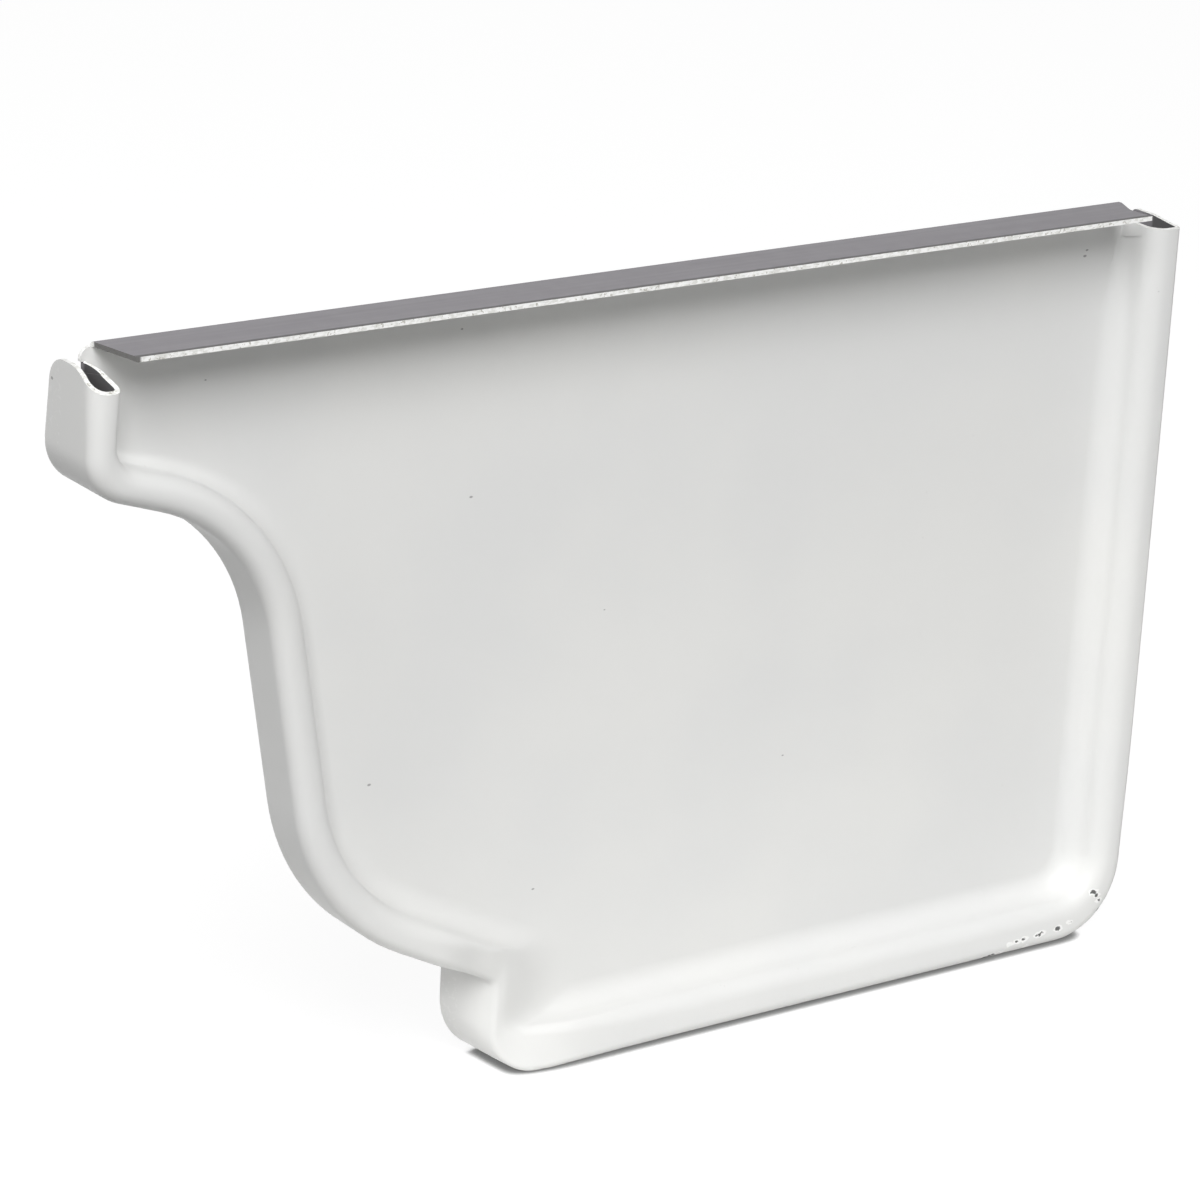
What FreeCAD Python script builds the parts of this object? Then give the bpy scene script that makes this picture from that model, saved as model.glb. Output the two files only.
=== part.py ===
# Right-hand end cap for a five inch ogee rain gutter, pressed from one sheet.
# The flat field lies in the XZ plane with its weather face at y = 0, and the cap stands on z = 0.
# x = 0 is the middle of the cap. The weather side looks to -y, and the gutter enters from +y.
import FreeCAD, Part
import math
import os

import Sketcher

Vector = FreeCAD.Vector
doc = FreeCAD.newDocument("gutter_end_cap")

# Driving sizes, lengths in millimetres and angles in degrees
SIZES = [
    ("width", 134.4, "front lip to gutter back, outside"),
    ("height", 85.0, "bottom to top of flange"),
    ("sheet", 0.5, "sheet thickness"),
    ("bead", 4.4, "how far the bead stands in front of the field"),
    ("bead_width", 3.6, "bead from outer wall to inner wall"),
    ("foot_width", 4.8, "bead width along the bottom"),
    ("outer_round", 1.6, "outer front rounding of the bead"),
    ("inner_round", 1.4, "inner front rounding of the bead"),
    ("valley_round", 2.4, "hollow rounding between bead and field"),
    ("tab_depth", 4.8, "skirt behind the field at the lip"),
    ("tab_lean", 0.8, "how much the lip tab narrows towards its top"),
    ("skirt_depth", 2.1, "skirt behind the field along the ogee"),
    ("foot_depth", 4.1, "skirt behind the field at step and bottom"),
    ("back_depth", 3.5, "skirt behind the field at the back"),
    ("lip_length", 10.5, "top of the flange down to the end of the straight lip"),
    ("lip_round", 5.0, "rounding below the lip"),
    ("lip_slope", 18.0, "fall of the ledge below the lip"),
    ("cove_round", 19.0, "hollow of the ogee"),
    ("cove_end", 20.8, "distance of the lower cove end from the lip"),
    ("face_lean", 10.0, "lean of the ogee face from upright"),
    ("belly_round", 24.0, "swell of the ogee"),
    ("belly_slope", 26.5, "fall of the belly towards the step"),
    ("step_x", 47.2, "distance of the step from the lip"),
    ("step_top", 11.1, "top of the upright step"),
    ("step_round", 1.2, "inside corner above the step"),
    ("toe_round", 7.2, "front bottom corner"),
    ("heel_round", 8.5, "back bottom corner"),
    ("lip_field_round", 2.8, "field corner beside the lip"),
    ("toe_field_round", 3.2, "field corner beside the toe"),
    ("flange_reach", 6.5, "flange from field face to its free edge"),
    ("flange_start", 2.8, "lip side end of the flange"),
    ("flange_gap", 6.5, "end of the flange to the outside of the back"),
    ("bend_round", 0.8, "outer rounding of the flange bend"),
    ("ear_start", 1.3, "free end of the small ear beside the flange"),
    ("ear_drop", 2.1, "top of the flange down to the lower end of the ear"),
    ("ear_round", 0.9, "rounded end of the ear"),
    ("lip_front_drop", 3.7, "top of the flange down to the lip at the front of the bead"),
    ("lip_top_drop", 1.5, "top of the flange down to the top of the lip tab"),
    ("lip_dip", 0.6, "flat length of the lip top at the front"),
    ("tab_round", 2.8, "rounded shoulder of the lip tab"),
    ("tab_end", 4.0, "end of the deep tab under the lip"),
    ("back_front_drop", 2.6, "top of the flange down to the back bead at its front"),
    ("back_top_drop", 2.0, "top of the flange down to the back skirt"),
]
sizes = doc.addObject("Spreadsheet::Sheet", "Sizes")
val = {}
for row, (name, number, meaning) in enumerate(SIZES, start=1):
    sizes.set("A%d" % row, name)
    sizes.set("B%d" % row, repr(number))
    sizes.set("C%d" % row, meaning)
    sizes.setAlias("B%d" % row, name)
    val[name] = number
doc.recompute()

body = doc.addObject("PartDesign::Body", "end_cap")
body.Label = "end_cap"
body.setExpression("Placement.Base.x", "-Sizes.width / 2 * 1 mm")


def new_sketch(name, role, offset=None):
    """Empty sketch on one of the body's own planes, or beside it by a tied offset."""
    sketch = body.newObject("Sketcher::SketchObject", name)
    plane = next(f for f in body.Origin.OriginFeatures if f.Role == role)
    sketch.AttachmentSupport = [(plane, "")]
    sketch.MapMode = "FlatFace"
    if offset:
        sketch.setExpression("AttachmentOffset.Base.z", offset)
    return sketch


def tie(sketch, kind, refs, formula, start):
    """Driving dimension tied to the size sheet."""
    k = sketch.addConstraint(Sketcher.Constraint(kind, *refs, start))
    sketch.setExpression("Constraints[%d]" % k, formula)


def place(sketch, line, formula_x=None, formula_y=None):
    """Tie the start point of a line to the sketch origin."""
    start = sketch.Geometry[line].StartPoint
    if formula_x:
        tie(sketch, "DistanceX", (-1, 1, line, 1), formula_x, start.x)
    if formula_y:
        tie(sketch, "DistanceY", (-1, 1, line, 1), formula_y, start.y)


def outline(sketch, corners, rounds):
    """Closed run of lines, with a tangent arc at each corner that has a radius.

    Line i leaves corner i, and arc i is the one at corner i.
    """
    count = len(corners)
    ends = []
    arcs = []
    for i, corner in enumerate(corners):
        here = Vector(*corner, 0)
        ends.append((here, here))
        arcs.append(None)
        if not rounds[i]:
            continue
        back = (Vector(*corners[i - 1], 0) - here).normalize()
        ahead = (Vector(*corners[(i + 1) % count], 0) - here).normalize()
        half = back.getAngle(ahead) / 2
        a = here + back * (rounds[i] / math.tan(half))
        b = here + ahead * (rounds[i] / math.tan(half))
        centre = here + (back + ahead).normalize() * (rounds[i] / math.sin(half))
        forward = (a - centre).cross(b - centre).z > 0
        first, last = (a, b) if forward else (b, a)
        start = math.atan2(first.y - centre.y, first.x - centre.x)
        stop = math.atan2(last.y - centre.y, last.x - centre.x)
        circle = Part.Circle(centre, Vector(0, 0, 1), rounds[i])
        arcs[i] = (Part.ArcOfCircle(circle, start, stop), forward)
        ends[i] = (a, b)
    lines = []
    for i in range(count):
        segment = Part.LineSegment(ends[i][1], ends[(i + 1) % count][0])
        lines.append(sketch.addGeometry(segment, False))
    numbers = []
    for i in range(count):
        before = lines[i - 1]
        if arcs[i] is None:
            joint = Sketcher.Constraint("Coincident", before, 2, lines[i], 1)
            sketch.addConstraint(joint)
            numbers.append(None)
            continue
        arc, forward = arcs[i]
        k = sketch.addGeometry(arc, False)
        enter, leave = (1, 2) if forward else (2, 1)
        sketch.addConstraint(Sketcher.Constraint("Tangent", before, 2, k, enter))
        sketch.addConstraint(Sketcher.Constraint("Tangent", k, leave, lines[i], 1))
        numbers.append(k)
    return lines, numbers


def straighten(sketch, kind, lines):
    """Hold lines upright or level."""
    for line in lines:
        sketch.addConstraint(Sketcher.Constraint(kind, line))


def crossing(p, angle_p, q, angle_q):
    """Point where two lines meet, each given by a point and a direction."""
    px, py = math.cos(math.radians(angle_p)), math.sin(math.radians(angle_p))
    qx, qy = math.cos(math.radians(angle_q)), math.sin(math.radians(angle_q))
    reach = ((q[0] - p[0]) * qy - (q[1] - p[1]) * qx) / (px * qy - py * qx)
    return (p[0] + reach * px, p[1] + reach * py)


def shifted(p, angle, distance):
    """Point moved to the left of a direction."""
    turn = math.radians(angle)
    return (p[0] - distance * math.sin(turn), p[1] + distance * math.cos(turn))


def edge_name(sketch, line):
    """Name of the sketch edge that holds the middle of a drawn line."""
    segment = sketch.Geometry[line]
    middle = (segment.StartPoint + segment.EndPoint) / 2
    spot = Part.Vertex(sketch.Placement.multVec(middle))
    gaps = [edge.distToShape(spot)[0] for edge in sketch.Shape.Edges]
    return "Edge%d" % (gaps.index(min(gaps)) + 1)


# Heights that follow the top of the flange
lip_foot = val["height"] - val["lip_length"]
lip_front = val["height"] - val["lip_front_drop"]
lip_top = val["height"] - val["lip_top_drop"]
ear_foot = val["height"] - val["ear_drop"]
back_front = val["height"] - val["back_front_drop"]
back_top = val["height"] - val["back_top_drop"]

# Outer outline: lip, ledge, cove, leaning face, belly, step, bottom, back
ledge_way = -val["lip_slope"]
face_way = -90 + val["face_lean"]
belly_way = -val["belly_slope"]
lip_turn = math.radians(90 + ledge_way) / 2
lip_corner = (0.0, lip_foot - val["lip_round"] * math.tan(lip_turn))
cove_turn = math.radians(ledge_way - face_way) / 2
cove_back = val["cove_round"] * math.tan(cove_turn) * math.cos(math.radians(face_way))
cove_corner = crossing(lip_corner, ledge_way, (val["cove_end"] - cove_back, 0.0), 90)
step_turn = math.radians(90 + belly_way) / 2
step_corner = (val["step_x"], val["step_top"] + val["step_round"] * math.tan(step_turn))
belly_corner = crossing(cove_corner, face_way, step_corner, belly_way)
sheet_top = val["height"] - 2 * val["sheet"]

profile = new_sketch("Outline", "XZ_Plane")
corners = [
    (0.0, sheet_top),
    lip_corner,
    cove_corner,
    belly_corner,
    step_corner,
    (val["step_x"], 0.0),
    (val["width"], 0.0),
    (val["width"], sheet_top),
]
round_names = [None, "lip_round", "cove_round", "belly_round",
               "step_round", "toe_round", "heel_round", None]
rounds = [val[n] if n else 0 for n in round_names]
(lip, ledge, face, belly, step, foot, back, top), arcs = outline(profile, corners, rounds)
straighten(profile, "Vertical", (lip, step, back))
straighten(profile, "Horizontal", (foot, top))
profile.addConstraint(Sketcher.Constraint("PointOnObject", lip, 1, -2))
profile.addConstraint(Sketcher.Constraint("PointOnObject", foot, 1, -1))
place(profile, lip, None, "Sizes.height - 2 * Sizes.sheet")
tie(profile, "DistanceY", (-1, 1, lip, 2), "Sizes.height - Sizes.lip_length", lip_foot)
place(profile, back, "Sizes.width")
place(profile, face, "Sizes.cove_end")
place(profile, step, "Sizes.step_x", "Sizes.step_top")
for line, way, formula in (
    (ledge, ledge_way, "-Sizes.lip_slope * 1 deg"),
    (face, face_way, "(Sizes.face_lean - 90) * 1 deg"),
    (belly, belly_way, "-Sizes.belly_slope * 1 deg"),
):
    tie(profile, "Angle", (line,), formula, math.radians(way))
for arc, name in zip(arcs, round_names):
    if name:
        tie(profile, "Radius", (arc,), "Sizes." + name, val[name])
doc.recompute()

block = body.newObject("PartDesign::Pad", "Block")
block.Profile = profile
block.SideType = "Two sides"
block.setExpression("Length", "Sizes.bead * 1 mm")
block.setExpression("Length2", "Sizes.tab_depth * 1 mm")
doc.recompute()

# Sunken field inside the bead, its sides parallel to the outer outline
bead_width = val["bead_width"]
field = new_sketch("Field", "XZ_Plane")
for line in (ledge, face, belly):
    field.addExternal("Outline", edge_name(profile, line))
on_ledge = shifted(cove_corner, ledge_way, bead_width)
on_face = shifted(cove_corner, face_way, bead_width)
on_belly = shifted(step_corner, belly_way, bead_width)
step_inside = val["step_x"] + bead_width
back_inside = val["width"] - bead_width
above = val["height"] + bead_width
corners = [
    (bead_width, above),
    crossing((bead_width, 0.0), 90, on_ledge, ledge_way),
    crossing(on_ledge, ledge_way, on_face, face_way),
    crossing(on_face, face_way, on_belly, belly_way),
    crossing(on_belly, belly_way, (step_inside, 0.0), 90),
    (step_inside, val["foot_width"]),
    (back_inside, val["foot_width"]),
    (back_inside, above),
]
rounds = [0, val["lip_field_round"], val["cove_round"] + bead_width,
          val["belly_round"] - bead_width, val["step_round"] + bead_width,
          val["toe_field_round"], val["heel_round"] - bead_width, 0]
formulas = [None, "Sizes.lip_field_round", "Sizes.cove_round + Sizes.bead_width",
            "Sizes.belly_round - Sizes.bead_width",
            "Sizes.step_round + Sizes.bead_width",
            "Sizes.toe_field_round", "Sizes.heel_round - Sizes.bead_width", None]
lines, arcs = outline(field, corners, rounds)
straighten(field, "Vertical", (lines[0], lines[4], lines[6]))
straighten(field, "Horizontal", (lines[5], lines[7]))
for outside, line in zip((-3, -4, -5), lines[1:4]):
    field.addConstraint(Sketcher.Constraint("Parallel", line, outside))
    tie(field, "Distance", (line, 1, outside), "Sizes.bead_width", bead_width)
place(field, lines[0], "Sizes.bead_width", "Sizes.height + Sizes.bead_width")
place(field, lines[4], "Sizes.step_x + Sizes.bead_width")
place(field, lines[5], None, "Sizes.foot_width")
place(field, lines[6], "Sizes.width - Sizes.bead_width")
for arc, formula, radius in zip(arcs, formulas, rounds):
    if formula:
        tie(field, "Radius", (arc,), formula, radius)
doc.recompute()

sink = body.newObject("PartDesign::Pocket", "Sink")
sink.Profile = field
sink.Type = "Length"
sink.Reversed = True
sink.setExpression("Length", "Sizes.bead * 1 mm")
doc.recompute()


# Soft press radii along the bead
def follows(edge, sketch, depth):
    """True where an edge is the sketch outline carried to a depth, top edges left out."""
    middle = edge.valueAt((edge.FirstParameter + edge.LastParameter) / 2)
    if max(abs(v.Y - depth) for v in edge.Vertexes) > 1e-4 or abs(middle.y - depth) > 1e-4:
        return False
    spot = Part.Vertex(middle.x, 0, middle.z)
    return abs(middle.z - sheet_top) > 1e-4 and sketch.Shape.distToShape(spot)[0] < 1e-4


def press_round(name, feature, sketch, depth, radius):
    fillet = body.newObject("PartDesign::Fillet", name)
    names = ["Edge%d" % (i + 1) for i, edge in enumerate(feature.Shape.Edges)
             if follows(edge, sketch, depth)]
    fillet.Base = (feature, names)
    fillet.setExpression("Radius", "Sizes.%s * 1 mm" % radius)
    doc.recompute()
    return fillet


bead_front = -val["bead"]
outer_edge = press_round("OuterRound", sink, profile, bead_front, "outer_round")
inner_edge = press_round("InnerRound", outer_edge, field, bead_front, "inner_round")
valley = press_round("Valley", inner_edge, field, 0.0, "valley_round")

# Hollow the block from behind and above, which leaves the sheet
shell = body.newObject("PartDesign::Thickness", "Shell")
open_faces = []
for i, side in enumerate(valley.Shape.Faces):
    box = side.BoundBox
    if abs(box.YMin - val["tab_depth"]) < 1e-4 or abs(box.ZMin - sheet_top) < 1e-4:
        open_faces.append("Face%d" % (i + 1))
shell.Base = (valley, open_faces)
shell.Mode = "Skin"
shell.Join = "Arc"
shell.Reversed = True
shell.setExpression("Value", "Sizes.sheet * 1 mm")
doc.recompute()


# Cuts that bring the sheet edges to their lengths
def rectangle(sketch, left, right, low, high):
    """Upright rectangle, each side given as a start value and a formula."""
    shape = [(left[0], low[0]), (right[0], low[0]), (right[0], high[0]), (left[0], high[0])]
    lines, _ = outline(sketch, shape, [0, 0, 0, 0])
    straighten(sketch, "Horizontal", (lines[0], lines[2]))
    straighten(sketch, "Vertical", (lines[1], lines[3]))
    place(sketch, lines[0], left[1], low[1])
    place(sketch, lines[2], right[1], high[1])


def cut(name, sketch, **settings):
    pocket = body.newObject("PartDesign::Pocket", name)
    pocket.Profile = sketch
    for key, value in settings.items():
        if key in ("Length", "Length2"):
            pocket.setExpression(key, value)
        else:
            setattr(pocket, key, value)
    doc.recompute()
    return pocket


ogee_trim = new_sketch("OgeeTrim", "XZ_Plane", "-Sizes.skirt_depth * 1 mm")
rectangle(
    ogee_trim,
    (val["tab_end"], "Sizes.tab_end"),
    (val["step_x"] - val["step_round"], "Sizes.step_x - Sizes.step_round"),
    (val["step_top"], "Sizes.step_top"),
    (lip_foot, "Sizes.height - Sizes.lip_length"),
)
cut("OgeeEdge", ogee_trim, Type="ThroughAll")

foot_trim = new_sketch("FootTrim", "XZ_Plane", "-Sizes.foot_depth * 1 mm")
rectangle(
    foot_trim,
    (val["step_x"] - val["step_round"], "Sizes.step_x - Sizes.step_round"),
    (val["width"] + val["bead_width"], "Sizes.width + Sizes.bead_width"),
    (-val["bead_width"], "-Sizes.bead_width"),
    (above, "Sizes.height + Sizes.bead_width"),
)
cut("FootEdge", foot_trim, Type="ThroughAll")

back_trim = new_sketch("BackTrim", "XZ_Plane", "-Sizes.back_depth * 1 mm")
rectangle(
    back_trim,
    (val["width"] - val["bead_width"], "Sizes.width - Sizes.bead_width"),
    (val["width"] + val["bead_width"], "Sizes.width + Sizes.bead_width"),
    (val["heel_round"], "Sizes.heel_round"),
    (above, "Sizes.height + Sizes.bead_width"),
)
cut("BackEdge", back_trim, Type="ThroughAll")

# Lip top: low at the fold, rising to the rounded tab behind it
lip_trim = new_sketch("LipTrim", "YZ_Plane")
clear = val["bead"] + val["bead_width"]
tab_behind = val["tab_depth"] + val["bead_width"]
shape = [
    (-clear, lip_front),
    (-val["bead"] + val["lip_dip"], lip_front),
    (-val["sheet"], lip_top),
    (val["tab_depth"] - val["tab_lean"], lip_top),
    (val["tab_depth"], lip_foot),
    (tab_behind, lip_foot),
    (tab_behind, above),
    (-clear, above),
]
rounds = [0, 1.0, 1.0, val["tab_round"], 0, 0, 0, 0]
lines, arcs = outline(lip_trim, shape, rounds)
straighten(lip_trim, "Horizontal", (lines[0], lines[2], lines[4], lines[6]))
straighten(lip_trim, "Vertical", (lines[5], lines[7]))
place(lip_trim, lines[0], "-(Sizes.bead + Sizes.bead_width)",
      "Sizes.height - Sizes.lip_front_drop")
place(lip_trim, lines[4], "Sizes.tab_depth", "Sizes.height - Sizes.lip_length")
place(lip_trim, lines[6], "Sizes.tab_depth + Sizes.bead_width",
      "Sizes.height + Sizes.bead_width")
place(lip_trim, lines[2], None, "Sizes.height - Sizes.lip_top_drop")
tie(lip_trim, "DistanceX", (-1, 1, lines[1], 1), "-Sizes.bead + Sizes.lip_dip",
    lip_trim.Geometry[lines[1]].StartPoint.x)
tie(lip_trim, "DistanceX", (-1, 1, lines[1], 2), "-Sizes.sheet",
    lip_trim.Geometry[lines[1]].EndPoint.x)
lean = lip_trim.Geometry[lines[3]]
lean_way = lean.EndPoint - lean.StartPoint
tie(lip_trim, "Angle", (lines[3],),
    "-90 deg + atan(Sizes.tab_lean / (Sizes.lip_length - Sizes.lip_top_drop))",
    math.atan2(lean_way.y, lean_way.x))
tie(lip_trim, "Radius", (arcs[1],), "2 * Sizes.sheet", 1.0)
tie(lip_trim, "Radius", (arcs[2],), "2 * Sizes.sheet", 1.0)
tie(lip_trim, "Radius", (arcs[3],), "Sizes.tab_round", val["tab_round"])
cut("LipTop", lip_trim, SideType="Symmetric",
    Length="2 * (Sizes.bead_width + Sizes.sheet) * 1 mm")

# Top of the back bead, beside the end of the flange
back_top_trim = new_sketch("BackTopTrim", "YZ_Plane", "(Sizes.width - Sizes.flange_gap) * 1 mm")
shape = [
    (-clear, back_front),
    (-val["bead"], back_front),
    (0.0, back_top),
    (tab_behind, back_top),
    (tab_behind, above),
    (-clear, above),
]
lines, _ = outline(back_top_trim, shape, [0] * 6)
straighten(back_top_trim, "Horizontal", (lines[0], lines[2], lines[4]))
straighten(back_top_trim, "Vertical", (lines[3], lines[5]))
place(back_top_trim, lines[0], "-(Sizes.bead + Sizes.bead_width)",
      "Sizes.height - Sizes.back_front_drop")
place(back_top_trim, lines[1], "-Sizes.bead")
back_top_trim.addConstraint(Sketcher.Constraint("PointOnObject", lines[2], 1, -2))
place(back_top_trim, lines[2], None, "Sizes.height - Sizes.back_top_drop")
place(back_top_trim, lines[4], "Sizes.tab_depth + Sizes.bead_width",
      "Sizes.height + Sizes.bead_width")
cut("BackTop", back_top_trim, Type="Length", Reversed=True,
    Length="(Sizes.flange_gap + Sizes.bead_width) * 1 mm")

# Top flange, bent forward from the field with a small press radius
flange_section = new_sketch("FlangeSection", "YZ_Plane", "Sizes.flange_start * 1 mm")
inside = val["bend_round"] - val["sheet"]
under = val["height"] - val["sheet"]
shape = [
    (-val["flange_reach"], under),
    (0.0, under),
    (0.0, sheet_top),
    (val["sheet"], sheet_top),
    (val["sheet"], val["height"]),
    (-val["flange_reach"], val["height"]),
]
rounds = [0, inside, 0, 0, val["bend_round"], 0]
lines, arcs = outline(flange_section, shape, rounds)
straighten(flange_section, "Horizontal", (lines[0], lines[2], lines[4]))
straighten(flange_section, "Vertical", (lines[1], lines[3], lines[5]))
place(flange_section, lines[0], "-Sizes.flange_reach", "Sizes.height - Sizes.sheet")
place(flange_section, lines[2], None, "Sizes.height - 2 * Sizes.sheet")
place(flange_section, lines[3], "Sizes.sheet")
place(flange_section, lines[5], None, "Sizes.height")
flange_section.addConstraint(Sketcher.Constraint("PointOnObject", lines[2], 1, -2))
tie(flange_section, "Radius", (arcs[1],), "Sizes.bend_round - Sizes.sheet", inside)
tie(flange_section, "Radius", (arcs[4],), "Sizes.bend_round", val["bend_round"])
flange = body.newObject("PartDesign::Pad", "Flange")
flange.Profile = flange_section
flange.setExpression("Length", "(Sizes.width - Sizes.flange_gap - Sizes.flange_start) * 1 mm")
doc.recompute()

# Small ear of the field that stands out beside the flange
ear_outline = new_sketch("EarOutline", "XZ_Plane")
ear_right = val["bead_width"] + val["valley_round"] + val["sheet"]
ear_top = val["height"] - val["sheet"] / 4
shape = [
    (val["ear_start"], ear_foot),
    (ear_right, ear_foot),
    (ear_right, sheet_top),
    (val["flange_start"], sheet_top),
    (val["flange_start"], ear_top),
    (val["ear_start"], ear_top),
]
ear_toe = val["sheet"]
rounds = [ear_toe, 0, 0, 0, 0, val["ear_round"]]
lines, arcs = outline(ear_outline, shape, rounds)
straighten(ear_outline, "Horizontal", (lines[0], lines[2], lines[4]))
straighten(ear_outline, "Vertical", (lines[1], lines[3], lines[5]))
place(ear_outline, lines[1], "Sizes.bead_width + Sizes.valley_round + Sizes.sheet",
      "Sizes.height - Sizes.ear_drop")
place(ear_outline, lines[3], "Sizes.flange_start", "Sizes.height - 2 * Sizes.sheet")
place(ear_outline, lines[4], None, "Sizes.height - Sizes.sheet / 4")
place(ear_outline, lines[5], "Sizes.ear_start")
tie(ear_outline, "Radius", (arcs[0],), "Sizes.sheet", ear_toe)
tie(ear_outline, "Radius", (arcs[5],), "Sizes.ear_round", val["ear_round"])
ear = body.newObject("PartDesign::Pad", "Ear")
ear.Profile = ear_outline
ear.Reversed = True
ear.setExpression("Length", "Sizes.sheet * 1 mm")
doc.recompute()

# Every step must have been built before the piece is written
for item in doc.Objects:
    state = getattr(item, "State", [])
    if "Invalid" in state or "Error" in state:
        raise RuntimeError("%s is %s" % (item.Name, state))
for sketch in body.Group:
    if sketch.TypeId == "Sketcher::SketchObject" and not sketch.FullyConstrained:
        raise RuntimeError("%s is loose" % sketch.Name)
if body.Shape.isNull() or not body.Shape.isValid() or len(body.Shape.Solids) != 1:
    raise RuntimeError("end_cap is not one sound solid")
os.makedirs("parts", exist_ok=True)
body.Shape.exportStep("parts/end_cap.step")
print("end_cap", round(body.Shape.Volume, 1), body.Shape.optimalBoundingBox(True, False))
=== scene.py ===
# %% [markdown]
# # A pressed gutter end cap
#
# The object is the end cap of an ogee rain gutter: one piece of coated sheet, half a
# millimetre thick. A press sinks the flat field and folds the sheet back on itself along
# the outline, which leaves a hollow bead in front and a skirt behind. The top edge is bent
# forward as a flange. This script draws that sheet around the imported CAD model, gives it
# its thickness, trims it as the trimming die does, and paints it.

# %% Load the frame
import math

import bpy
from mathutils import Matrix, Vector


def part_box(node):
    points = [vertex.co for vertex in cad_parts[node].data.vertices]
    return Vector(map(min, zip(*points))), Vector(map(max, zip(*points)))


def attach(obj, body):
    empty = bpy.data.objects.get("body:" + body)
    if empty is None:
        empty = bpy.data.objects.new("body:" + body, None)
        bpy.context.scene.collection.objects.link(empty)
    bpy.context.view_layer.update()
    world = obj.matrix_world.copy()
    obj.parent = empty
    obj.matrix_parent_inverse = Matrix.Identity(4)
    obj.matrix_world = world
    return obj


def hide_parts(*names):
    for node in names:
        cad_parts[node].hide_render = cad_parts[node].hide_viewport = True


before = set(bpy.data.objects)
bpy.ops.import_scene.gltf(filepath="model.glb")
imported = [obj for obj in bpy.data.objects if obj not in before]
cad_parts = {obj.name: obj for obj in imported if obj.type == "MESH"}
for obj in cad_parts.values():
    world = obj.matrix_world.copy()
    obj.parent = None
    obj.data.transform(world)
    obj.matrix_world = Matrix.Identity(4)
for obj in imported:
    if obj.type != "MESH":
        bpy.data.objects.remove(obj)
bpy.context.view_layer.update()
bpy.context.scene.view_settings.view_transform = "Standard"

# %% [markdown]
# ## Units
#
# The sheet is thin and its folds are small, so it is drawn in millimetres and scaled to
# metres when it is done. Blender's edit tools work with small fixed tolerances, and a fold
# of half a millimetre drawn in metres comes too near to them. The CAD box gives the left
# edge, the width and the height, so the drawing lands where the CAD says. Two points nearer
# than NEAR count as one.

# %% Units and the overall size
MM = 0.001
NODE = "end_cap"
low, high = (Vector(corner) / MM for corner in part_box(NODE))
LEFT = low.x
WIDTH = high.x - low.x
HEIGHT = high.z
SHEET = 0.5
NEAR = 0.001
print("width %.1f mm, height %.1f mm" % (WIDTH, HEIGHT))

# %% [markdown]
# ## Small helpers for edit mode
#
# All the shaping is done with the operators of edit mode, as by hand. An operator acts on
# what is selected, so each step starts from one object, open, with nothing selected.

# %% Open and leave edit mode


def only(obj):
    """Select one object alone and make it active."""
    if bpy.context.object and bpy.context.object.mode != "OBJECT":
        bpy.ops.object.mode_set(mode="OBJECT")
    bpy.ops.object.select_all(action="DESELECT")
    obj.select_set(True)
    bpy.context.view_layer.objects.active = obj


def edit(obj, part="VERT"):
    """Open an object in edit mode with nothing selected."""
    only(obj)
    bpy.ops.object.mode_set(mode="EDIT")
    bpy.ops.mesh.select_mode(type=part)
    bpy.ops.mesh.select_all(action="DESELECT")


def leave():
    """Go back to object mode, which writes what was edited into the mesh."""
    bpy.ops.object.mode_set(mode="OBJECT")


# %% [markdown]
# What a step works on is then selected by its place, or by the vertex group it was drawn
# with. Vertex numbers would be no use, because they change with every step.

# %% Select by place or by group


def pick(obj, where, part="VERT"):
    """Open an object and select the vertices, edges or faces whose middle passes a test."""
    edit(obj, part)
    bpy.ops.object.mode_set(mode="OBJECT")
    mesh = obj.data
    if part == "VERT":
        items = [(v, v.co) for v in mesh.vertices]
    elif part == "EDGE":
        at = [v.co for v in mesh.vertices]
        items = [(e, (at[e.vertices[0]] + at[e.vertices[1]]) / 2) for e in mesh.edges]
    else:
        items = [(p, p.center) for p in mesh.polygons]
    count = 0
    for item, middle in items:
        item.select = bool(where(middle))
        count += item.select
    bpy.ops.object.mode_set(mode="EDIT")
    return count


def pick_groups(obj, names, part="EDGE"):
    """Open an object and select what lies between the vertices of the named groups."""
    edit(obj, "VERT")
    for name in names:
        obj.vertex_groups.active = obj.vertex_groups[name]
        bpy.ops.object.vertex_group_select()
    bpy.ops.mesh.select_mode(type=part)


# %% [markdown]
# ## Drawing a run of edges
#
# An outline is drawn the way a draughtsman does: from a first point, straight legs are
# extruded and round legs are spun about their centre. A single vertex is made by merging a
# small plane. The corners of an outline are where its straight lines cross, and each corner
# has a radius, so a leg ends where the arc begins. The same function serves the outline,
# seen from the front, and the profiles of the trimming dies, seen from the side.

# %% Draw runs of lines and arcs
FRONT = (Vector((1, 0, 0)), Vector((0, 0, 1)))
SIDE = (Vector((0, 1, 0)), Vector((0, 0, 1)))


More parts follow.
